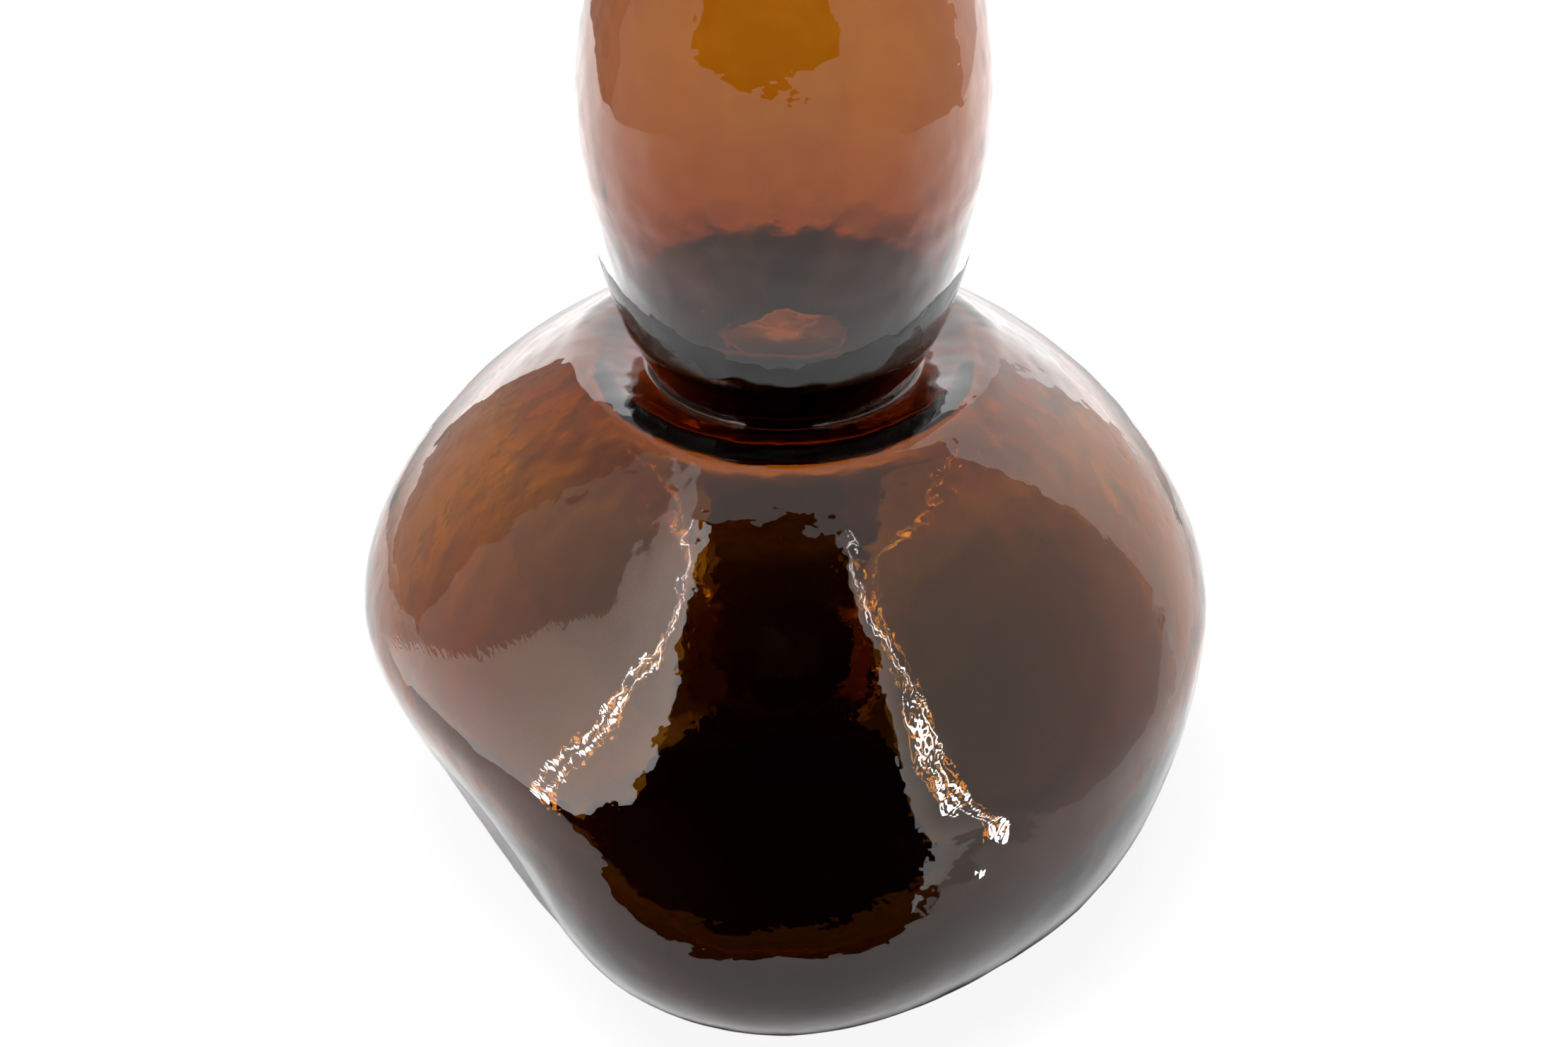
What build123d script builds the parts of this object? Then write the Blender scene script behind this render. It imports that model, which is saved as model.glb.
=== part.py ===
from build123d import *
import math
import os

# A free-blown gourd vase in amber glass. Sizes are in millimetres, +Z is up, and the
# origin is the middle of the flat ground face that the vase stands on. -Y is its front.

# Foot: a pad of glass laid on under the lower bulb and ground flat
foot_radius = 70.0
foot_thickness = 5.0
foot_edge_round = 1.5
foot_edge_bulge = 0.75

# Lower bulb, to its outer face
belly_radius = 150.0
belly_height = 131.0
lower_fullness = 1.87
shoulder_height = 75.0
shoulder_fullness = 1.66
collar_base_radius = 105.0

# Lower bulb, its wall
belly_wall = 2.8
floor_thickness = 8.0
cavity_floor_radius = 66.0
shoulder_joint_wall = 4.0

# Where the soft lower bulb sagged or was pressed: push out (+) or in (-), direction, spread
front_sag = 32.0
front_sag_angle = 268.6
front_sag_spread = 31.75
left_press = -19.4
left_press_angle = 212.6
left_press_spread = 26.0
right_sag = 6.5
right_sag_angle = 317.0
right_sag_spread = 22.0
sag_rise = 2.8
sag_fall = 6.0

# Waist collar: the shoulder levels out round a tight crease, then the neck leans to the front.
# Each ring is (radius, rise above the collar's seat, how far its middle lies to the front)
dome_radius = 80.0
dome_end_radius = 72.0
crest = (64.0, 24.9)
crest_fall = (56.0, 23.8)
crease = (46.8, 21.2)
shelf_slope = 0.35
crease_lean = 0.35
neck_low = (48.2, 25.6, 1.2)
neck_middle = (50.0, 30.6, 3.5)
neck_high = (52.6, 37.6, 5.9)
collar_top = (56.7, 47.0, 7.0)

# Waist collar, its inner side: a funnel above and below a tight throat
throat = (22.7, 23.0)
funnel_low = (31.0, 31.0, 2.0)
funnel_high = (41.0, 40.0, 4.0)
funnel_top = (47.5, 47.0, 5.0)
under_throat = (31.0, 15.6)
under_neck = (44.0, 14.8)
under_fall = (55.0, 19.3)
under_crest = (62.0, 20.5)
under_dome_end = (70.0, 19.2)
under_dome = (78.0, 14.3)
under_shoulder = (90.0, 6.1)

# Upper bulb: it leans to the front at the collar and comes back upright at its widest level
upper_radius = 70.7
upper_level = 327.0
upper_shoulder_rise = 108.0
upper_fullness = 1.87
upper_wall = 3.0
upper_floor_radius = 55.2
upper_floor_rise = 12.0
lean_fall = 3.0

# Mouth: a fire-polished lip
mouth_radius = 38.0
mouth_wall = 4.5
lip_flare = 0.8
lip_height = 4.0

# Fineness of the lofted forms
lower_steps = 7
shoulder_steps = 5
ring_points = 40
neck_steps = 8
upper_steps = 6

# Levels, stacked from the table up
seat_level = belly_height + shoulder_height
collar_top_level = seat_level + collar_top[1]
mouth_level = upper_level + upper_shoulder_rise
cavity_floor_level = foot_thickness + floor_thickness


def span_through(reach, radius, offset, fullness):
    """Full half height of a rounded outline, `reach` wide, that is `radius` wide at `offset`."""
    return offset / (1 - (radius / reach) ** fullness) ** (1 / fullness)


def outline_radius(reach, span, offset, fullness):
    """Radius of that outline at a height `offset` from its widest level."""
    return reach * (1 - (offset / span) ** fullness) ** (1 / fullness)


def outline_slope(reach, span, offset, fullness):
    """How fast that outline draws in, radius per height, at `offset`."""
    share = offset / span
    return reach / span * share ** (fullness - 1) * (1 - share**fullness) ** (1 / fullness - 1)


def levels_between(span, offset, fullness, steps):
    """Offsets from the widest level out to `offset`, closer together where the outline turns."""
    last = math.asin((offset / span) ** (fullness / 2))
    return [span * math.sin(last * i / steps) ** (2 / fullness) for i in range(1, steps + 1)]


def sag(angle, level):
    """Push of the lopsided lower bulb at a direction, fading to nothing at its two joints."""
    share = (level - foot_thickness) / (seat_level - foot_thickness)
    peak = sag_rise / (sag_rise + sag_fall)
    fade = (max(share, 0) / peak) ** sag_rise * (max(1 - share, 0) / (1 - peak)) ** sag_fall
    pushes = [
        (front_sag, front_sag_angle, front_sag_spread),
        (left_press, left_press_angle, left_press_spread),
        (right_sag, right_sag_angle, right_sag_spread),
    ]
    total = 0
    for push, middle, spread in pushes:
        turn = (angle - middle + 180) % 360 - 180
        total += push * math.exp(-((turn / spread) ** 2))
    return fade * total


def bulb_section(radius, level):
    """One level ring of the lower bulb, as a closed face."""
    points = []
    for i in range(ring_points):
        angle = 360 * i / ring_points
        reach = radius + sag(angle, level)
        x = reach * math.cos(math.radians(angle))
        y = reach * math.sin(math.radians(angle))
        points.append((x, y, level))
    return make_face(Spline(*points, periodic=True))


def bulb_form(reach, low_radius, low_level, top_radius):
    """Solid form of the lower bulb, outer or inner, from a low level up to the collar's seat."""
    drop = belly_height - low_level
    low_span = span_through(reach, low_radius, drop, lower_fullness)
    top_span = span_through(reach, top_radius, shoulder_height, shoulder_fullness)
    rings = [(reach, belly_height)]
    for offset in levels_between(low_span, drop, lower_fullness, lower_steps):
        radius = outline_radius(reach, low_span, offset, lower_fullness)
        rings.insert(0, (radius, belly_height - offset))
    for offset in levels_between(top_span, shoulder_height, shoulder_fullness, shoulder_steps):
        radius = outline_radius(reach, top_span, offset, shoulder_fullness)
        rings.append((radius, belly_height + offset))
    return loft([bulb_section(radius, level) for radius, level in rings])


def ring_of(*edges):
    """Solid turned from an outline in the XZ plane about the vase's axis."""
    return revolve(make_face(list(edges)), Axis.Z)


def curve(points, tangents):
    """Smooth curve in the XZ plane through (radius, level) points with given directions."""
    return Spline(
        *[(radius, 0, level) for radius, level in points],
        tangents=[(out, 0, up) for out, up in tangents],
    )


def straight(start, end):
    """Straight edge in the XZ plane between two (radius, level) points."""
    return Line((start[0], 0, start[1]), (end[0], 0, end[1]))


def loft_rings(rings):
    """Solid through level rings, each (radius, level, how far its middle lies to the front)."""
    return loft([Pos(0, -lean, level) * Circle(radius) for radius, level, lean in rings])


def neck_form(rings, first, last):
    """Solid through collar rings, joined by a smooth run that starts and ends as given."""
    points = [(radius, lean, seat_level + rise) for radius, rise, lean in rings]
    run = Spline(*points, tangents=[first, last])
    places = [run @ (i / neck_steps) for i in range(neck_steps + 1)]
    return loft_rings([(place.X, place.Z, place.Y) for place in places])


def upper_lean(level):
    """How far the upper bulb's middle lies to the front at a level."""
    share = min((level - collar_top_level) / (upper_level - collar_top_level), 1)
    return collar_top[2] * (1 - share) ** lean_fall


def upper_form(reach, low, top):
    """Solid form of the upper bulb, outer or inner, through its widest level between two joints."""
    rings = [(reach, upper_level, 0)]
    for end, sign in ((low, -1), (top, 1)):
        gap = abs(end[1] - upper_level)
        span = span_through(reach, end[0], gap, upper_fullness)
        for offset in levels_between(span, gap, upper_fullness, upper_steps):
            level = upper_level + sign * offset
            radius = outline_radius(reach, span, offset, upper_fullness)
            ring = (radius, level, upper_lean(level))
            rings = [ring] + rings if sign < 0 else rings + [ring]
    return loft_rings(rings)


# The lower bulb's outer form runs through the foot's edge on the table
outer_span = span_through(belly_radius, foot_radius, belly_height, lower_fullness)
foot_drop = belly_height - foot_thickness
foot_top_radius = outline_radius(belly_radius, outer_span, foot_drop, lower_fullness)


def make_foot_pad():
    """Disc of glass under the bulb, ground flat below, its edge following the bulb."""
    flat_edge = (foot_radius - foot_edge_round, 0)
    side = (foot_radius + foot_edge_bulge, foot_edge_round)
    top_edge = (foot_top_radius, foot_thickness)
    slope = outline_slope(belly_radius, outer_span, foot_drop, lower_fullness)
    return ring_of(
        straight((0, 0), flat_edge),
        curve([flat_edge, side, top_edge], [(1, 0), (slope, 1), (slope, 1)]),
        straight(top_edge, (0, foot_thickness)),
        straight((0, foot_thickness), (0, 0)),
    )


def make_lower_bulb():
    """Lopsided round shell, closed below and open at the collar's seat."""
    outside = bulb_form(belly_radius, foot_top_radius, foot_thickness, collar_base_radius)
    inside = bulb_form(
        belly_radius - belly_wall,
        cavity_floor_radius,
        cavity_floor_level,
        collar_base_radius - shoulder_joint_wall,
    )
    return outside - inside


# The shoulder's own outline, which the collar carries on up to its crest
top_span = span_through(belly_radius, collar_base_radius, shoulder_height, shoulder_fullness)
seat_slope = outline_slope(belly_radius, top_span, shoulder_height, shoulder_fullness)


def shoulder_point(radius):
    """Point of the shoulder's outline at a radius, as (radius, level)."""
    gain = top_span * (1 - (radius / belly_radius) ** shoulder_fullness) ** (1 / shoulder_fullness)
    return (radius, belly_height + gain)


def above_seat(*points):
    """Collar points given by their rise, as (radius, level)."""
    return [(radius, seat_level + rise) for radius, rise in points]


# The upper bulb's outline where it leaves the collar
upper_drop = upper_level - collar_top_level
upper_span = span_through(upper_radius, collar_top[0], upper_drop, upper_fullness)
upper_slope = outline_slope(upper_radius, upper_span, upper_drop, upper_fullness)


def make_waist_collar():
    """Thick pinched ring: a swelling shoulder and a leaning neck round a tight throat."""
    collar_foot = (collar_base_radius, seat_level)
    collar_foot_in = (collar_base_radius - shoulder_joint_wall, seat_level)
    axis_foot = (0, seat_level)
    crease_point, throat_point = above_seat(crease, throat)
    shoulder = ring_of(
        straight(axis_foot, collar_foot),
        curve(
            [
                collar_foot,
                shoulder_point(dome_radius),
                shoulder_point(dome_end_radius),
                *above_seat(crest, crest_fall, crease),
            ],
            [(-seat_slope, 1), (-1, -shelf_slope)],
        ),
        straight(crease_point, (0, crease_point[1])),
        straight((0, crease_point[1]), axis_foot),
    )
    neck = neck_form(
        [(*crease, 0), neck_low, neck_middle, neck_high, collar_top],
        (crease_lean, 0, 1),
        (upper_slope, -collar_top[2] * lean_fall / upper_drop, 1),
    )
    hollow = ring_of(
        straight(axis_foot, collar_foot_in),
        curve(
            [
                collar_foot_in,
                *above_seat(under_shoulder, under_dome, under_dome_end, under_crest),
                *above_seat(under_fall, under_neck, under_throat, throat),
            ],
            [(-seat_slope, 1), (0, 1)],
        ),
        straight(throat_point, (0, throat_point[1])),
        straight((0, throat_point[1]), axis_foot),
    )
    funnel = neck_form(
        [(*throat, 0), funnel_low, funnel_high, funnel_top], (0, 0, 1), (0.8, 0, 1)
    )
    return shoulder + neck - hollow - funnel


# Joint of the upper bulb with the lip, and the edge of the bulb's thick inner floor
mouth_joint = (mouth_radius, mouth_level)
mouth_joint_in = (mouth_radius - mouth_wall, mouth_level)
floor_edge = (upper_floor_radius, collar_top_level + upper_floor_rise)


def make_upper_bulb():
    """Egg-shaped shell, thin but for the floor that runs down into the collar's throat."""
    outside = upper_form(upper_radius, (collar_top[0], collar_top_level), mouth_joint)
    inside = upper_form(upper_radius - upper_wall, floor_edge, mouth_joint_in)
    bowl = loft_rings(
        [
            (funnel_top[0], collar_top_level, funnel_top[2]),
            (*floor_edge, upper_lean(floor_edge[1])),
        ]
    )
    return outside - inside - bowl


def make_mouth_lip():
    """Rounded lip of the open mouth."""
    shoulder_level = mouth_level + lip_height
    outer = (mouth_radius + lip_flare, shoulder_level)
    inner = (mouth_radius - mouth_wall + lip_flare, shoulder_level)
    top = ((outer[0] + inner[0]) / 2, shoulder_level + (outer[0] - inner[0]) / 2)
    return ring_of(
        straight(mouth_joint_in, mouth_joint),
        straight(mouth_joint, outer),
        ThreePointArc((outer[0], 0, outer[1]), (top[0], 0, top[1]), (inner[0], 0, inner[1])),
        straight(inner, mouth_joint_in),
    )


pieces = {
    "foot_pad": make_foot_pad(),
    "lower_bulb": make_lower_bulb(),
    "waist_collar": make_waist_collar(),
    "upper_bulb": make_upper_bulb(),
    "mouth_lip": make_mouth_lip(),
}

os.makedirs("parts", exist_ok=True)
for name, piece in pieces.items():
    export_step(piece, f"parts/{name}.step")
    print(name, round(piece.volume / 1000, 1), "cm3", piece.bounding_box())
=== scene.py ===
import math
import bpy
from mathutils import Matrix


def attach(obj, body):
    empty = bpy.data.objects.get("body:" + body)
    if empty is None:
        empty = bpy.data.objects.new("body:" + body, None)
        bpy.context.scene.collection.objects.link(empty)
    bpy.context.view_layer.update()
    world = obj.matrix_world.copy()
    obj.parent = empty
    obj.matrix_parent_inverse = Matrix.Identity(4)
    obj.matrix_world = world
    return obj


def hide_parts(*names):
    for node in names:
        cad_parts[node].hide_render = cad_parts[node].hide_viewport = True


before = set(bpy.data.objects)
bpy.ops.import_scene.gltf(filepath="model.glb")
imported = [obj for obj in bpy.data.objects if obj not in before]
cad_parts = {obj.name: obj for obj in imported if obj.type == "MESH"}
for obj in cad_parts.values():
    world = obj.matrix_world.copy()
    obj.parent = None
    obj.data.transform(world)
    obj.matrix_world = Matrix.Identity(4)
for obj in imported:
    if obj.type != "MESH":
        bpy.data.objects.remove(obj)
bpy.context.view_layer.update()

scene = bpy.context.scene
mm = 0.001
white = (1.0, 1.0, 1.0, 1.0)
mathKind = "ShaderNodeMath"
vectorKind = "ShaderNodeVectorMath"


def addNode(tree, kind, wires=None, **settings):
    made = tree.nodes.new(kind)
    for key, value in settings.items():
        setattr(made, key, value)
    for socket, source in (wires or {}).items():
        if isinstance(source, bpy.types.NodeSocket):
            tree.links.new(source, made.inputs[socket])
        else:
            made.inputs[socket].default_value = source
    return made


def hexColour(text):
    shades = [int(text[i:i + 2], 16) / 255 for i in (1, 3, 5)]
    linear = [s / 12.92 if s <= 0.04045 else ((s + 0.055) / 1.055) ** 2.4 for s in shades]
    return (*linear, 1.0)


def emptyMaterial(name):
    made = bpy.data.materials.new(name)
    made.use_nodes = True
    made.node_tree.nodes.clear()
    return made, made.node_tree


# Blown glass, amber: clear all through, so its colour deepens with the thickness looked through,
# from orange in the thin upper bulb to nearly black at the base; fire-polished, so mirror-smooth
amberGlass = {
    "ior": 1.5,
    "roughness": 0.0,
    "absorbTint": "#E9CA00",      # what a thin layer lets through
    "absorbPerMetre": 845.0,
    "fineRipple": 4.0 * mm,       # hand-tool ripple too fine for the mesh
    "fineRippleHeight": 0.05 * mm,
}


def makeAmberGlass(look):
    material, tree = emptyMaterial("amberBlownGlass")
    place = addNode(tree, "ShaderNodeTexCoord")
    noise = addNode(tree, "ShaderNodeTexNoise", {
        "Vector": place.outputs["Object"], "Scale": 1 / look["fineRipple"], "Detail": 1.0})
    bump = addNode(tree, "ShaderNodeBump", {
        "Height": noise.outputs[0], "Distance": look["fineRippleHeight"], "Strength": 1.0})
    glass = addNode(tree, "ShaderNodeBsdfPrincipled", {
        "Base Color": white, "Roughness": look["roughness"], "IOR": look["ior"],
        "Transmission Weight": 1.0, "Normal": bump.outputs["Normal"]})
    body = addNode(tree, "ShaderNodeVolumeAbsorption", {
        "Color": hexColour(look["absorbTint"]), "Density": look["absorbPerMetre"]})
    addNode(tree, "ShaderNodeOutputMaterial", {
        "Surface": glass.outputs[0], "Volume": body.outputs[0]})
    return material


# The whole vase is one unbroken skin of glass, so it is one mesh with an outer and an inner wall.
# Sizes are in millimetres and follow the solids'. Two hidden inner faces differ: under the collar the
# wall lies up to 4 mm lower, which gives the neck its dark band, and the cavity's floor is a shallow dish
vaseShape = {
    "footFlat": 68.5, "footEdge": (70.75, 1.5), "footTop": (77.9, 5.0),
    "bellyRadius": 150.0, "bellyLevel": 131.0, "bellyFullness": 1.87, "shoulderFullness": 1.66,
    # outer rings of the collar from the shoulder up: radius, level, y of the middle
    "shelfRings": [(105.0, 206.0, 0.0), (92.0, 216.5, 0.0), (80.0, 224.75, 0.0), (72.0, 229.6, 0.0),
                   (64.0, 230.9, 0.0), (56.0, 229.8, 0.0), (46.8, 227.2, 0.0)],
    "neckRings": [(46.8, 227.2, 0.0), (48.2, 231.6, -1.2), (50.0, 236.6, -3.5), (52.6, 243.6, -5.9),
                  (56.7, 253.0, -7.0)],
    "creaseSlope": 0.35, "creaseLean": 0.35,
    # its inner rings, from the upper bulb down through the throat and out to the shoulder
    "throatRings": [(55.2, 265.0, -4.1), (47.5, 253.0, -5.0), (41.0, 246.0, -4.0), (31.0, 237.0, -2.0),
                    (22.7, 229.0, 0.0), (31.0, 221.6, 0.0), (44.0, 220.8, 0.0), (54.0, 221.5, 0.0),
                    (60.0, 222.6, 0.0), (64.0, 225.2, 0.0), (67.0, 225.9, 0.0), (71.0, 225.1, 0.0),
                    (78.0, 221.2, 0.0), (89.0, 214.2, 0.0), (101.0, 206.0, 0.0)],
    "leanFall": 3.0,
    "upperRadius": 70.7, "upperLevel": 327.0, "upperFullness": 1.87,
    "mouth": (38.0, 435.0), "lipRise": 4.0, "lipFlare": 0.8, "lipSteps": 12,
    "innerBellyRadius": 147.2, "innerUpperRadius": 67.7, "innerMouth": (33.5, 435.0),
    "cavityEdge": (66.0, 13.0), "dishStart": 22.0, "dishFloor": 11.5,
    "sagLow": 5.0, "sagTop": 206.0, "sagRise": 2.8, "sagFall": 6.0,
    # distance from one row of points to the next
    "outerGap": 2.6, "collarGap": 1.5, "neckGap": 1.2, "throatGap": 3.0, "innerGap": 8.0, "footGap": 14.0,
    "turnSteps": 262,
    "weldGap": 0.001,             # points nearer than this are one
}

# How far the soft lower bulb was pushed, where, and how wide (millimetres, degrees, degrees)
vaseSags = {
    "Front": (32.0, 268.6, 31.75),
    "Left": (-19.4, 212.6, 26.0),
    "Right": (6.5, 317.0, 22.0),
}

# Hand ripple of the outer and inner faces, worked inwards so that the outside size stays
vaseRipple = {
    "Ripple Width": 10.0 * mm, "Ripple Height": 0.7 * mm,
    "Wave Width": 38.0 * mm, "Wave Height": 0.6 * mm,
}


def spanThrough(reach, radius, offset, fullness):
    return offset / (1 - (radius / reach) ** fullness) ** (1 / fullness)


def bulbOutline(reach, wideLevel, low, top, lowFullness, topFullness, steps=160):
    points = []
    drop, rise = wideLevel - low[1], top[1] - wideLevel
    lowSpan = spanThrough(reach, low[0], drop, lowFullness)
    topSpan = spanThrough(reach, top[0], rise, topFullness)
    for i in range(-steps, steps + 1):
        offset = (rise if i > 0 else drop) * abs(i) / steps
        span, fullness = (topSpan, topFullness) if i > 0 else (lowSpan, lowFullness)
        radius = reach * (1 - (offset / span) ** fullness) ** (1 / fullness)
        points.append((radius, wideLevel + math.copysign(offset, i)))
    return points


def unit(way):
    return tuple(d / math.hypot(*way) for d in way)


def bend(start, startWay, end, endWay, steps):
    # smooth run between two points, leaving and arriving in the given directions
    chord = math.dist(start, end)
    run = []
    for i in range(1, steps + 1):
        s = i / steps
        h = (2 * s**3 - 3 * s**2 + 1, s**3 - 2 * s**2 + s, 3 * s**2 - 2 * s**3, s**3 - s**2)
        run.append(tuple(
            h[0] * a + h[1] * chord * da + h[2] * b + h[3] * chord * db
            for a, da, b, db in zip(start, startWay, end, endWay)))
    return run


def softCurve(points, directions, steps=40):
    # smooth line through points, each passed in its given direction
    ways = [unit(direction) for direction in directions]
    line = [points[0]]
    for i in range(len(points) - 1):
        line += bend(points[i], ways[i], points[i + 1], ways[i + 1], steps)
    return line


def ringCurve(rings, first, last, steps=24):
    # smooth run of rings through the given ones, with only its two ends' directions given
    gaps = [math.dist(a, b) for a, b in zip(rings, rings[1:])]
    ways = [unit(first)]
    for i in range(1, len(rings) - 1):
        before, after = gaps[i - 1], gaps[i]
        ways.append(tuple(
            ((c - b) / after * before + (b - a) / before * after) / (before + after)
            for a, b, c in zip(rings[i - 1], rings[i], rings[i + 1])))
    ways.append(unit(last))
    line = [rings[0]]
    for i in range(len(gaps)):
        line += bend(rings[i], ways[i], rings[i + 1], ways[i + 1], steps)
    return line


def spaced(points, gap):
    # the same line with its points an even step apart
    lengths = [0.0]
    for a, b in zip(points, points[1:]):
        lengths.append(lengths[-1] + math.dist(a, b))
    count = max(2, round(lengths[-1] / gap))
    result, k = [], 0
    for i in range(count + 1):
        want = lengths[-1] * i / count
        while k < len(points) - 2 and lengths[k + 1] < want:
            k += 1
        share = (want - lengths[k]) / (lengths[k + 1] - lengths[k])
        result.append(tuple(a + (b - a) * share for a, b in zip(points[k], points[k + 1])))
    return result


def slopeAt(line, end):
    a, b = (line[0], line[1]) if end == "start" else (line[-2], line[-1])
    return tuple(q - p for p, q in zip(a, b))


def upright(line):
    return [(radius, level, 0.0) for radius, level in line]


def leaned(v, line):
    # above the collar the rings come back to the axis
    joint = v["neckRings"][-1]
    result = []
    for radius, level in line:
        share = min(1.0, (level - joint[1]) / (v["upperLevel"] - joint[1]))
        result.append((radius, level, joint[2] * (1 - share) ** v["leanFall"]))
    return result


def lipOutline(v):
    # a half round over the mouth's wall, from its outer to its inner edge
    level = v["mouth"][1] + v["lipRise"]
    outer, inner = v["mouth"][0] + v["lipFlare"], v["innerMouth"][0] + v["lipFlare"]
    middle, lipRound = (outer + inner) / 2, (outer - inner) / 2
    line = [v["mouth"]]
    for i in range(v["lipSteps"] + 1):
        turn = math.pi * i / v["lipSteps"]
        line.append((middle + lipRound * math.cos(turn), level + lipRound * math.sin(turn)))
    line.append(v["innerMouth"])
    return line


def sagShareAt(v, radius, level):
    # how much of the sags a ring takes: nothing at the foot and at the collar's seat
    share = (level - v["sagLow"]) / (v["sagTop"] - v["sagLow"])
    if not 0 < share < 1:
        return 0.0
    peak = v["sagRise"] / (v["sagRise"] + v["sagFall"])
    fade = (share / peak) ** v["sagRise"] * ((1 - share) / (1 - peak)) ** v["sagFall"]
    return fade * min(1.0, radius / v["cavityEdge"][0])


def vaseLines(v):
    # the vase's outline in stretches, from the foot's middle up outside and down inside, each with
    # the share of the hand ripple that it takes, minus on the inside, whose faces look the other way
    bellyShape = (v["bellyFullness"], v["shoulderFullness"])
    upperShape = (v["upperFullness"], v["upperFullness"])
    seat, innerSeat = v["shelfRings"][0][:2], v["throatRings"][-1][:2]
    neckTop, throatTop = v["neckRings"][-1][:2], v["throatRings"][0][:2]
    belly = bulbOutline(v["bellyRadius"], v["bellyLevel"], v["footTop"], seat, *bellyShape)
    bellyStart = slopeAt(belly, "start")
    foot = softCurve([(v["footFlat"], 0), v["footEdge"], v["footTop"]], [(1, 0), bellyStart, bellyStart])
    upper = leaned(v, bulbOutline(v["upperRadius"], v["upperLevel"], neckTop, v["mouth"], *upperShape))
    shelf = ringCurve(v["shelfRings"], slopeAt(upright(belly), "end"), (-1, -v["creaseSlope"], 0))
    neck = ringCurve(v["neckRings"], (v["creaseLean"], 1, 0), slopeAt(upper, "start"))
    innerUpper = bulbOutline(v["innerUpperRadius"], v["upperLevel"], throatTop, v["innerMouth"],
                             *upperShape)
    innerUpper = leaned(v, innerUpper[::-1])
    innerBelly = bulbOutline(v["innerBellyRadius"], v["bellyLevel"], v["cavityEdge"], innerSeat,
                             *bellyShape)[::-1]
    innerCollar = ringCurve(v["throatRings"], slopeAt(innerUpper, "end"),
                            slopeAt(upright(innerBelly), "start"))
    innerBelly = [p for p in innerBelly if p[1] > v["dishStart"]]
    dish = softCurve([innerBelly[-1], (0, v["dishFloor"])], [slopeAt(innerBelly, "end"), (-1, 0)])
    return [
        (spaced([(0, 0, 0), (v["footFlat"], 0, 0)], v["footGap"]), 0),
        (spaced(upright(foot), v["outerGap"]), 1),
        (spaced(upright(belly), v["outerGap"]), 1),
        (spaced(shelf, v["collarGap"]), 1),
        (spaced(neck, v["neckGap"]), 1),
        (spaced(upper, v["outerGap"]), 1),
        (leaned(v, lipOutline(v)), 1),
        (spaced(innerUpper, v["innerGap"]), -1),
        (spaced(innerCollar, v["throatGap"]), -1),
        (spaced(upright(innerBelly), v["innerGap"]), -1),
        (spaced(upright(dish), v["innerGap"]), -1),
    ]


def vaseProfile(v):
    rows = []
    for line, rippled in vaseLines(v):
        for radius, level, shift in line:
            if rows and math.dist((rows[-1]["radius"], rows[-1]["level"]), (radius, level)) < v["weldGap"]:
                continue
            rows.append({
                "radius": radius, "level": level, "shift": shift * mm,
                "sagShare": sagShareAt(v, radius, level),
                "rippleShare": rippled * min(1.0, radius / v["mouth"][0])})
    return rows


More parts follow.
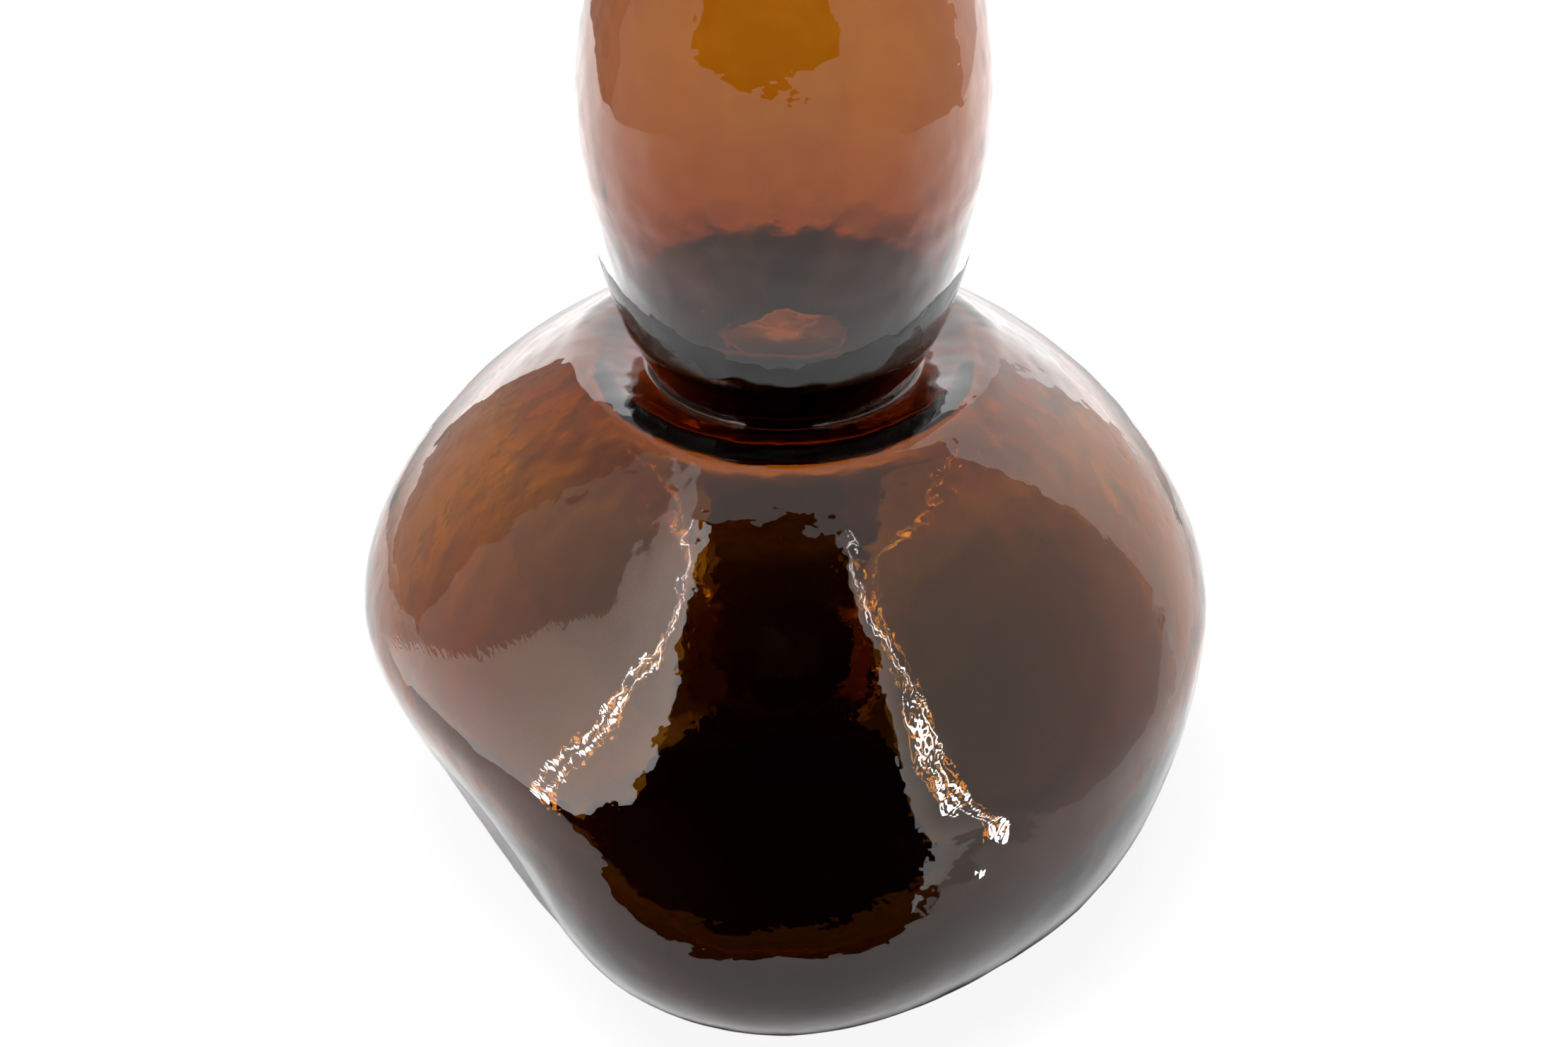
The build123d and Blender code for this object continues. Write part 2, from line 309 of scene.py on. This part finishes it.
def blownVaseTree(sags, ripple, material):
    tree = bpy.data.node_groups.new("blownVase", "GeometryNodeTree")
    ports = tree.interface
    ports.new_socket("Profile", in_out="INPUT", socket_type="NodeSocketGeometry")
    ports.new_socket("Turn Steps", in_out="INPUT", socket_type="NodeSocketInt")
    for side in sags:
        for word in ("Sag", "Angle", "Spread"):
            ports.new_socket(f"{side} {word}", in_out="INPUT", socket_type="NodeSocketFloat")
    for word in ripple:
        ports.new_socket(word, in_out="INPUT", socket_type="NodeSocketFloat")
    ports.new_socket("Vase", in_out="OUTPUT", socket_type="NodeSocketGeometry")
    given = addNode(tree, "NodeGroupInput").outputs

    # a flat grid with one row for each point of the profile, rolled round the axis
    size = addNode(tree, "GeometryNodeAttributeDomainSize", {0: given["Profile"]})
    rowCount = size.outputs["Point Count"]
    turnCount = addNode(tree, mathKind, {0: given["Turn Steps"], 1: 1.0}, operation="ADD").outputs[0]
    grid = addNode(tree, "GeometryNodeMeshGrid", {"Vertices X": turnCount, "Vertices Y": rowCount})
    index = addNode(tree, "GeometryNodeInputIndex").outputs[0]
    row = addNode(tree, mathKind, {0: index, 1: rowCount}, operation="MODULO").outputs[0]
    column = addNode(tree, mathKind, {0: index, 1: rowCount}, operation="DIVIDE").outputs[0]
    turn = addNode(tree, mathKind, {0: column}, operation="FLOOR").outputs[0]
    share = addNode(tree, mathKind, {0: turn, 1: given["Turn Steps"]}, operation="DIVIDE").outputs[0]
    angle = addNode(tree, mathKind, {0: share, 1: math.tau}, operation="MULTIPLY").outputs[0]
    here = addNode(tree, "GeometryNodeInputPosition").outputs[0]
    point = addNode(tree, "GeometryNodeSampleIndex", {
        "Geometry": given["Profile"], "Value": here, "Index": row}, data_type="FLOAT_VECTOR").outputs[0]
    point = addNode(tree, "ShaderNodeSeparateXYZ", {0: point}).outputs
    sampled = {}
    for word in ("sagShare", "rippleShare", "shift"):
        field = addNode(tree, "GeometryNodeInputNamedAttribute", {"Name": word}, data_type="FLOAT")
        sampled[word] = addNode(tree, "GeometryNodeSampleIndex", {
            "Geometry": given["Profile"], "Value": field.outputs[0], "Index": row},
            data_type="FLOAT").outputs[0]

    # each sag fades to both sides of its own direction
    reach = point["X"]
    for side in sags:
        middle, spread, push = (given[f"{side} {word}"] for word in ("Angle", "Spread", "Sag"))
        away = addNode(tree, mathKind, {0: angle, 1: middle}, operation="SUBTRACT").outputs[0]
        away = addNode(tree, mathKind, {0: away, 1: math.pi, 2: -math.pi}, operation="WRAP").outputs[0]
        away = addNode(tree, mathKind, {0: away, 1: spread}, operation="DIVIDE").outputs[0]
        fade = addNode(tree, mathKind, {0: away, 1: away}, operation="MULTIPLY").outputs[0]
        fade = addNode(tree, mathKind, {0: fade, 1: -1.0}, operation="MULTIPLY").outputs[0]
        fade = addNode(tree, mathKind, {0: fade}, operation="EXPONENT").outputs[0]
        push = addNode(tree, mathKind, {0: fade, 1: push}, operation="MULTIPLY").outputs[0]
        reach = addNode(tree, mathKind, {
            0: push, 1: sampled["sagShare"], 2: reach}, operation="MULTIPLY_ADD").outputs[0]
    across = addNode(tree, mathKind, {0: angle}, operation="COSINE").outputs[0]
    along = addNode(tree, mathKind, {0: angle}, operation="SINE").outputs[0]
    across = addNode(tree, mathKind, {0: reach, 1: across}, operation="MULTIPLY").outputs[0]
    along = addNode(tree, mathKind, {0: reach, 1: along}, operation="MULTIPLY").outputs[0]
    along = addNode(tree, mathKind, {0: along, 1: sampled["shift"]}, operation="ADD").outputs[0]
    target = addNode(tree, "ShaderNodeCombineXYZ", {0: across, 1: along, 2: point["Z"]}).outputs[0]
    kept = addNode(tree, "GeometryNodeStoreNamedAttribute", {
        "Geometry": grid.outputs["Mesh"], "Name": "ripple", "Value": sampled["rippleShare"]},
        data_type="FLOAT", domain="POINT").outputs[0]
    rolled = addNode(tree, "GeometryNodeSetPosition", {"Geometry": kept, "Position": target}).outputs[0]
    closed = addNode(tree, "GeometryNodeMergeByDistance", {
        "Geometry": rolled, "Distance": vaseShape["weldGap"] * mm}).outputs[0]

    # hand ripple: a short one from the tools and a long one from the soft glass settling
    depths = []
    for word, detail in (("Ripple", 1.0), ("Wave", 0.0)):
        width, height = given[f"{word} Width"], given[f"{word} Height"]
        pitch = addNode(tree, mathKind, {0: 1.0, 1: width}, operation="DIVIDE").outputs[0]
        noise = addNode(tree, "ShaderNodeTexNoise", {"Vector": here, "Scale": pitch, "Detail": detail})
        depth = addNode(tree, mathKind, {0: noise.outputs[0], 1: height}, operation="MULTIPLY")
        depths.append(depth.outputs[0])
    depth = addNode(tree, mathKind, {0: depths[1], 1: depths[0]}, operation="ADD").outputs[0]
    amount = addNode(tree, "GeometryNodeInputNamedAttribute", {"Name": "ripple"}, data_type="FLOAT")
    depth = addNode(tree, mathKind, {0: depth, 1: amount.outputs[0]}, operation="MULTIPLY").outputs[0]
    depth = addNode(tree, mathKind, {0: depth, 1: -1.0}, operation="MULTIPLY").outputs[0]
    normal = addNode(tree, "GeometryNodeInputNormal").outputs[0]
    inwards = addNode(tree, vectorKind, {0: normal, "Scale": depth}, operation="SCALE").outputs[0]
    rippled = addNode(tree, "GeometryNodeSetPosition", {"Geometry": closed, "Offset": inwards}).outputs[0]
    cleaned = addNode(tree, "GeometryNodeRemoveAttribute", {"Geometry": rippled, "Name": "ripple"})
    smooth = addNode(tree, "GeometryNodeSetShadeSmooth", {"Geometry": cleaned.outputs[0]}).outputs[0]
    single = addNode(tree, "GeometryNodeRealizeInstances", {"Geometry": smooth}).outputs[0]
    dressed = addNode(tree, "GeometryNodeSetMaterial", {"Geometry": single, "Material": material})
    addNode(tree, "NodeGroupOutput", {0: dressed.outputs[0]})
    return tree


def makeVase():
    rows = vaseProfile(vaseShape)
    profile = bpy.data.meshes.new("vaseProfile")
    edges = [(i, i + 1) for i in range(len(rows) - 1)]
    profile.from_pydata([(row["radius"] * mm, 0, row["level"] * mm) for row in rows], edges, [])
    for word in ("sagShare", "rippleShare", "shift"):
        values = profile.attributes.new(word, "FLOAT", "POINT")
        values.data.foreach_set("value", [row[word] for row in rows])
    turned = bpy.data.objects.new("vaseTurned", profile)
    scene.collection.objects.link(turned)
    glass = makeAmberGlass(amberGlass)
    tree = blownVaseTree(vaseSags, vaseRipple, glass)
    modifier = turned.modifiers.new("blownVase", "NODES")
    modifier.node_group = tree
    inputs = {"Turn Steps": vaseShape["turnSteps"], **vaseRipple}
    for side, (push, direction, spread) in vaseSags.items():
        inputs[f"{side} Sag"] = push * mm
        inputs[f"{side} Angle"] = math.radians(direction)
        inputs[f"{side} Spread"] = math.radians(spread)
    for item in tree.interface.items_tree:
        if item.in_out == "INPUT" and item.name in inputs:
            modifier[item.identifier] = inputs[item.name]
    seen = bpy.context.evaluated_depsgraph_get()
    mesh = bpy.data.meshes.new_from_object(turned.evaluated_get(seen))
    mesh.name = "vaseGlass"
    bpy.data.objects.remove(turned)
    vase = bpy.data.objects.new("vaseGlass", mesh)
    scene.collection.objects.link(vase)
    return vase


vase = makeVase()
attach(vase, "root")
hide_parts("foot_pad", "lower_bulb", "waist_collar", "upper_bulb", "mouth_lip")
print("vase:", len(vase.data.vertices), "points,", len(vase.data.polygons), "faces")


def stageMesh(name, points, faces, material):
    mesh = bpy.data.meshes.new(name)
    mesh.from_pydata(points, [], faces)
    mesh.materials.append(material)
    sheet = bpy.data.objects.new(name, mesh)
    scene.collection.objects.link(sheet)
    return sheet


def stageSheet(name, corners, material):
    return stageMesh(name, corners, [range(len(corners))], material)


# White paper that the vase stands on, with a darker studio floor beyond its front edge
paperLook = {
    "colour": "#F4F4F4",
    "front": [(-0.32, -0.19), (-0.28, -0.25), (-0.25, -0.30), (-0.22, -0.50), (0.0, -0.84), (0.26, -0.60),
              (0.30, -0.40), (0.33, -0.38)],
    "sideReach": 2.5,
    "sideFront": -0.10,
    "backReach": 2.5,
    "cameraGlow": 0.92,
    "paintedShadowMiddle": (0.02, 0.07),  # painted soft shadow of the vase: the paper's glow dims round it, as it shows through the glass
    "paintedShadowReach": (0.2, 0.42),
    "paintedShadowFall": 3.6,
    "paintedShadowDepth": 0.01,
    "paintedGapMiddle": (0.0, 0.40),      # painted light: a lighter gap between the painted shadow's two lobes
    "paintedGapReach": (0.06, 0.07),
    "paintedGapLevel": 0.85,
}
floorLook = {"reach": 6.0, "drop": 1.0 * mm, "mirrorColour": "#161412"}


def awayFrom(tree, ground, middle, reach):
    # distance on the ground from an oval's middle, 1 at its edge
    place = addNode(tree, "ShaderNodeMapping", {
        "Vector": ground, "Location": (-middle[0] / reach[0], -middle[1] / reach[1], 0),
        "Scale": (1 / reach[0], 1 / reach[1], 1)}).outputs[0]
    return addNode(tree, vectorKind, {0: place}, operation="LENGTH").outputs["Value"]


def makePaper(look):
    material, tree = emptyMaterial("whitePaper")
    rays = addNode(tree, "ShaderNodeLightPath").outputs
    plain = addNode(tree, "ShaderNodeBsdfDiffuse", {"Color": hexColour(look["colour"])})
    glow = addNode(tree, "ShaderNodeEmission", {"Color": white, "Strength": 1.0})
    share = addNode(tree, mathKind, {
        0: rays["Is Camera Ray"], 1: look["cameraGlow"]}, operation="MULTIPLY").outputs[0]
    lit = addNode(tree, "ShaderNodeMixShader", {0: share, 1: plain.outputs[0], 2: glow.outputs[0]})
    # Seen through the glass the paper is a glow set by place, not lit: a painted shadow, dark round and
    # behind the vase, with a painted lighter gap behind it
    ground = addNode(tree, "ShaderNodeTexCoord").outputs["Object"]
    away = awayFrom(tree, ground, look["paintedShadowMiddle"], look["paintedShadowReach"])
    away = addNode(tree, mathKind, {0: away, 1: 1.0}, operation="MINIMUM").outputs[0]
    away = addNode(tree, mathKind, {0: away, 1: look["paintedShadowFall"]}, operation="POWER").outputs[0]
    clear = addNode(tree, "ShaderNodeMapRange", {0: away, 3: look["paintedShadowDepth"], 4: 1.0}).outputs[0]
    away = awayFrom(tree, ground, look["paintedGapMiddle"], look["paintedGapReach"])
    gap = addNode(tree, "ShaderNodeMapRange", {0: away, 3: look["paintedGapLevel"], 4: 0.0},
                  interpolation_type="SMOOTHSTEP").outputs[0]
    clear = addNode(tree, mathKind, {0: clear, 1: gap}, operation="ADD").outputs[0]
    clear = addNode(tree, mathKind, {0: clear, 1: 1.0}, operation="MINIMUM").outputs[0]
    seenThrough = addNode(tree, "ShaderNodeEmission", {"Color": white, "Strength": clear})
    mixed = addNode(tree, "ShaderNodeMixShader", {
        0: rays["Is Transmission Ray"], 1: lit.outputs[0], 2: seenThrough.outputs[0]})
    addNode(tree, "ShaderNodeOutputMaterial", {"Surface": mixed.outputs[0]})
    side, front, back = look["sideReach"], look["sideFront"], look["backReach"]
    outline = [(-side, front), *look["front"], (side, front), (side, back), (-side, back)]
    return stageSheet("whitePaper", [(x, y, 0) for x, y in outline], material)


def makeStudioFloor(look):
    material, tree = emptyMaterial("studioFloor")
    rays = addNode(tree, "ShaderNodeLightPath").outputs
    seen = addNode(tree, "ShaderNodeEmission", {"Color": white, "Strength": 1.0})
    mirrored = addNode(tree, "ShaderNodeEmission", {
        "Color": hexColour(look["mirrorColour"]), "Strength": 1.0})
    mixed = addNode(tree, "ShaderNodeMixShader", {
        0: rays["Is Camera Ray"], 1: mirrored.outputs[0], 2: seen.outputs[0]})
    addNode(tree, "ShaderNodeOutputMaterial", {"Surface": mixed.outputs[0]})
    outline = [(-1, -1), (1, -1), (1, 1), (-1, 1)]
    corners = [(x * look["reach"], y * look["reach"], -look["drop"]) for x, y in outline]
    return stageSheet("studioFloor", corners, material)


makePaper(paperLook)
makeStudioFloor(floorLook)
print("stage: paper and studio floor")


# White cards of the photo tent, open towards the camera; they show only in the glass
cardLooks = {
    "leftCard": {
        "corners": [(-0.32, -0.19, 0.0), (-0.32, -0.30, 0.16), (-0.32, -0.30, 0.60), (-0.32, -0.20, 1.15),
                    (-0.32, 0.01, 1.15), (-0.32, 0.01, 0.13), (-0.32, -0.13, 0.12)],
        "strength": 1.0},
    "leftRearCard": {
        "corners": [(-0.32, 0.01, 0.13), (-0.32, 0.01, 1.1), (-0.42, 0.60, 1.1), (-0.42, 0.60, 0.06)],
        "strength": 0.6},
    "rightCard": {
        "corners": [(0.32, -0.41, 0.0), (0.32, -0.56, 0.14), (0.32, -0.64, 0.47), (0.32, -0.57, 0.81),
                    (0.32, -0.42, 1.31), (0.32, 0.05, 1.31), (0.32, 0.05, 0.16), (0.32, -0.02, 0.05),
                    (0.32, -0.05, 0.0)],
        "strength": 0.95},
    "rightRearCard": {
        "corners": [(0.33, 0.055, 0.0), (0.33, 0.055, 1.1), (0.45, 0.60, 1.1), (0.45, 0.60, 0.0)],
        "strength": 1.5, "endStrength": 2.3, "along": "Z", "from": 0.20, "to": 0.36},
    "topCard": {
        "corners": [(-0.24, -0.22, 0.9), (0.0, -0.28, 0.9), (0.21, -0.29, 0.9), (0.45, -0.20, 0.9),
                    (0.45, 0.7, 0.9), (-0.45, 0.7, 0.9), (-0.45, -0.15, 0.9)],
        "strength": 1.0, "seenThrough": False},
    "backCard": {
        "corners": [(-1.4, 1.2, 0.0), (1.4, 1.2, 0.0), (1.4, 1.2, 1.6), (-1.4, 1.2, 1.6)],
        "strength": 3.2, "seenThrough": False},
    "backSheet": {
        "corners": [(-1.4, 0.40, 0.002), (1.4, 0.40, 0.002), (1.4, 1.2, 0.002), (-1.4, 1.2, 0.002)],
        "strength": 0.7, "endStrength": 2.4, "along": "Y", "from": 0.45, "to": 0.95, "seenThrough": False},
}


def oneSided(tree, glow):
    # light from the face's front only; from behind the card can't be seen
    clear = addNode(tree, "ShaderNodeBsdfTransparent")
    behind = addNode(tree, "ShaderNodeNewGeometry").outputs["Backfacing"]
    return addNode(tree, "ShaderNodeMixShader", {0: behind, 1: glow.outputs[0], 2: clear.outputs[0]})


def showOnlyInGlass(light, seenThrough):
    # always mirrored by the glass, and looked at through it only if asked
    light.visible_camera = False
    light.visible_diffuse = False
    light.visible_shadow = False
    light.visible_transmission = seenThrough


def makeCard(name, look):
    material, tree = emptyMaterial(name)
    level = look["strength"]
    if "endStrength" in look:
        place = addNode(tree, "ShaderNodeTexCoord").outputs["Object"]
        place = addNode(tree, "ShaderNodeSeparateXYZ", {0: place}).outputs[look["along"]]
        level = addNode(tree, "ShaderNodeMapRange", {
            0: place, 1: look["from"], 2: look["to"], 3: level, 4: look["endStrength"]}).outputs[0]
    glow = addNode(tree, "ShaderNodeEmission", {"Color": white, "Strength": level})
    addNode(tree, "ShaderNodeOutputMaterial", {"Surface": glow.outputs[0]})
    card = stageSheet(name, look["corners"], material)
    showOnlyInGlass(card, look.get("seenThrough", True))


# A white table top round the vase, which only the upper bulb mirrors: it is seen from above only
tableLook = {
    "level": 0.236, "hole": 0.09, "strength": 1.05,
    "nearHole": 1.75, "nearReach": 0.16,       # how much brighter it is at the hole, fading outwards
    "behind": 2.9, "behindSpan": (-0.6, 0.3),  # strength at the back, and over which y of direction
    # its far edge by directions (degrees to the right of the front) and distances
    "farEdge": [(-180, 2.6), (-60, 2.6), (-42, 1.86), (-24, 1.49), (-15, 1.20), (-6, 1.06), (2, 1.20),
                (9, 1.49), (19, 2.6), (180, 2.6)],
    "edgeStep": 3,
}


def makeTable(look):
    material, tree = emptyMaterial("tableTop")
    place = addNode(tree, "ShaderNodeTexCoord").outputs["Object"]
    place = addNode(tree, "ShaderNodeMapping", {"Vector": place, "Scale": (1, 1, 0)}).outputs[0]
    away = addNode(tree, vectorKind, {0: place}, operation="LENGTH").outputs["Value"]
    near = addNode(tree, "ShaderNodeMapRange", {
        0: away, 1: look["hole"], 2: look["nearReach"], 3: look["nearHole"], 4: 1.0}).outputs[0]
    way = addNode(tree, vectorKind, {0: place}, operation="NORMALIZE").outputs[0]
    way = addNode(tree, "ShaderNodeSeparateXYZ", {0: way}).outputs["Y"]
    start, end = look["behindSpan"]
    turned = addNode(tree, "ShaderNodeMapRange", {
        0: way, 1: start, 2: end, 3: look["strength"], 4: look["behind"]}).outputs[0]
    level = addNode(tree, mathKind, {0: near, 1: turned}, operation="MULTIPLY").outputs[0]
    glow = addNode(tree, "ShaderNodeEmission", {"Color": white, "Strength": level})
    addNode(tree, "ShaderNodeOutputMaterial", {"Surface": oneSided(tree, glow).outputs[0]})
    edge = look["farEdge"]
    points, faces = [], []
    for turn in range(edge[0][0], edge[-1][0], look["edgeStep"]):
        for (a, reachA), (b, reachB) in zip(edge, edge[1:]):
            if a <= turn < b:
                reach = reachA + (reachB - reachA) * (turn - a) / (b - a)
        x, y = math.sin(math.radians(turn)), -math.cos(math.radians(turn))
        points += [(x * r, y * r, look["level"]) for r in (look["hole"], reach)]
    for i in range(0, len(points), 2):
        j = (i + 2) % len(points)
        faces.append((i, i + 1, j + 1, j))
    showOnlyInGlass(stageMesh("tableTop", points, faces, material), False)


for cardName, cardLook in cardLooks.items():
    makeCard(cardName, cardLook)
makeTable(tableLook)

# Louvred strip lights before the side cards: each is a stack of slats lit from below only, so that
# the belly mirrors them and the upper bulb does not. A halo is the lit front part of a side card.
# Each follows a line of (y, z) at its own x
slatShape = {"step": 12.0 * mm, "depth": 60.0 * mm, "aim": (0.0, -0.05, 0.28)}
stripShape = {"width": 7.0 * mm, "gap": 22.0 * mm, "strength": 38.0, "backShare": 1.0}
louvreLooks = {
    "leftStrip": {
        "x": -0.315, **stripShape,
        "line": [(-0.20, 0.0), (-0.35, 0.25), (-0.42, 0.48), (-0.38, 0.77), (-0.16, 1.01)]},
    "rightStrip": {
        "x": 0.315, **stripShape,
        "line": [(-0.28, 0.0), (-0.40, 0.11), (-0.49, 0.28), (-0.49, 0.54), (-0.49, 0.91), (-0.36, 1.22)]},
    "leftHalo": {
        "x": -0.318, "width": 340.0 * mm, "gap": 0.0, "strength": 4.2, "backShare": 0.5,
        "line": [(-0.10, 0.02), (-0.29, 0.17), (-0.42, 0.43), (-0.32, 0.68), (-0.12, 1.15)]},
    "rightHalo": {
        "x": 0.318, "width": 170.0 * mm, "gap": 0.0, "strength": 2.2, "backShare": 0.5,
        "line": [(-0.36, 0.02), (-0.50, 0.14), (-0.57, 0.47), (-0.53, 0.81), (-0.40, 1.25)]},
}


def makeLouvre(name, look, slat):
    points, faces, glowShares = [], [], []
    for (ya, za), (yb, zb) in zip(look["line"], look["line"][1:]):
        count = max(1, round(math.dist((ya, za), (yb, zb)) / slat["step"]))
        for i in range(count):
            y, z = ya + (yb - ya) * i / count, za + (zb - za) * i / count
            away = [aim - p for aim, p in zip(slat["aim"], (look["x"], y, z))]
            reach = slat["depth"] / math.hypot(*away)
            for offset in sorted({-look["gap"] / 2, look["gap"] / 2}):
                first = len(points)
                for side in (-0.5, 0.5):
                    here = (look["x"], y + offset + side * look["width"], z)
                    points.append(here)
                    points.append(tuple(p + reach * d for p, d in zip(here, away)))
                    glowShares += [1.0 if side < 0 else look["backShare"]] * 2
                face = (first, first + 1, first + 3, first + 2)
                faces.append(face if look["x"] > 0 else face[::-1])
    material, tree = emptyMaterial(name)
    share = addNode(tree, "ShaderNodeAttribute", attribute_name="glowShare").outputs["Fac"]
    level = addNode(tree, mathKind, {0: share, 1: look["strength"]}, operation="MULTIPLY").outputs[0]
    glow = addNode(tree, "ShaderNodeEmission", {"Color": white, "Strength": level})
    addNode(tree, "ShaderNodeOutputMaterial", {"Surface": oneSided(tree, glow).outputs[0]})
    louvre = stageMesh(name, points, faces, material)
    shares = louvre.data.attributes.new("glowShare", "FLOAT", "POINT")
    shares.data.foreach_set("value", glowShares)
    showOnlyInGlass(louvre, True)


for louvreName, louvreLook in louvreLooks.items():
    makeLouvre(louvreName, louvreLook, slatShape)
print("stage: cards and strip lights")

# One lamp from above the camera, a little left: it whitens the paper and casts the vase's shadow behind it
lampLook = {"rise": 60.0, "turn": 10.0, "softness": 22.0, "strength": 5.0}


def makeLamp(look):
    data = bpy.data.lights.new("keyLamp", "SUN")
    data.angle = math.radians(look["softness"])
    data.energy = look["strength"]
    lamp = bpy.data.objects.new("keyLamp", data)
    lamp.rotation_euler = (math.radians(90 - look["rise"]), 0, -math.radians(look["turn"]))
    lamp.visible_glossy = False
    lamp.visible_transmission = False
    lamp.visible_camera = False
    scene.collection.objects.link(lamp)


# World: white where it is looked at, and low behind the vase where it is looked through; else dark
worldLook = {"open": "#0C0B0A", "whiteUpTo": 0.0}


def makeWorld(look):
    world = bpy.data.worlds.new("studio")
    world.use_nodes = True
    tree = world.node_tree
    tree.nodes.clear()
    rays = addNode(tree, "ShaderNodeLightPath").outputs
    way = addNode(tree, "ShaderNodeTexCoord").outputs["Generated"]
    way = addNode(tree, "ShaderNodeSeparateXYZ", {0: way}).outputs
    behind = addNode(tree, mathKind, {0: way["Y"], 1: 0.0}, operation="GREATER_THAN").outputs[0]
    low = addNode(tree, mathKind, {0: way["Z"], 1: look["whiteUpTo"]}, operation="LESS_THAN").outputs[0]
    behind = addNode(tree, mathKind, {0: behind, 1: low}, operation="MULTIPLY").outputs[0]
    through = addNode(tree, mathKind, {
        0: rays["Is Transmission Ray"], 1: behind}, operation="MULTIPLY").outputs[0]
    lookedAt = addNode(tree, mathKind, {
        0: rays["Is Camera Ray"], 1: through}, operation="MAXIMUM").outputs[0]
    pale = addNode(tree, "ShaderNodeBackground", {"Color": white, "Strength": 1.0})
    dark = addNode(tree, "ShaderNodeBackground", {"Color": hexColour(look["open"]), "Strength": 1.0})
    mixed = addNode(tree, "ShaderNodeMixShader", {0: lookedAt, 1: dark.outputs[0], 2: pale.outputs[0]})
    addNode(tree, "ShaderNodeOutputWorld", {"Surface": mixed.outputs[0]})
    scene.world = world


# Camera: 33 degrees up, in front
cameraPlace = {
    "rise": 33.0, "distance": 1.5, "aimHeight": 0.15878,
    "focalPixels": 6050.0, "framePixels": 2220.0, "sensorWidth": 36.0,
}


def makeCamera(place):
    data = bpy.data.cameras.new("camera")
    data.sensor_width = place["sensorWidth"]
    data.sensor_fit = "HORIZONTAL"
    data.lens = place["focalPixels"] / place["framePixels"] * place["sensorWidth"]
    camera = bpy.data.objects.new("camera", data)
    rise = math.radians(place["rise"])
    camera.location = (0, -place["distance"] * math.cos(rise),
                       place["aimHeight"] + place["distance"] * math.sin(rise))
    camera.rotation_euler = (math.pi / 2 - rise, 0, 0)
    scene.collection.objects.link(camera)
    scene.camera = camera


makeLamp(lampLook)
makeWorld(worldLook)
makeCamera(cameraPlace)
scene.view_settings.view_transform = "Standard"
print("stage: lamp, world and camera")
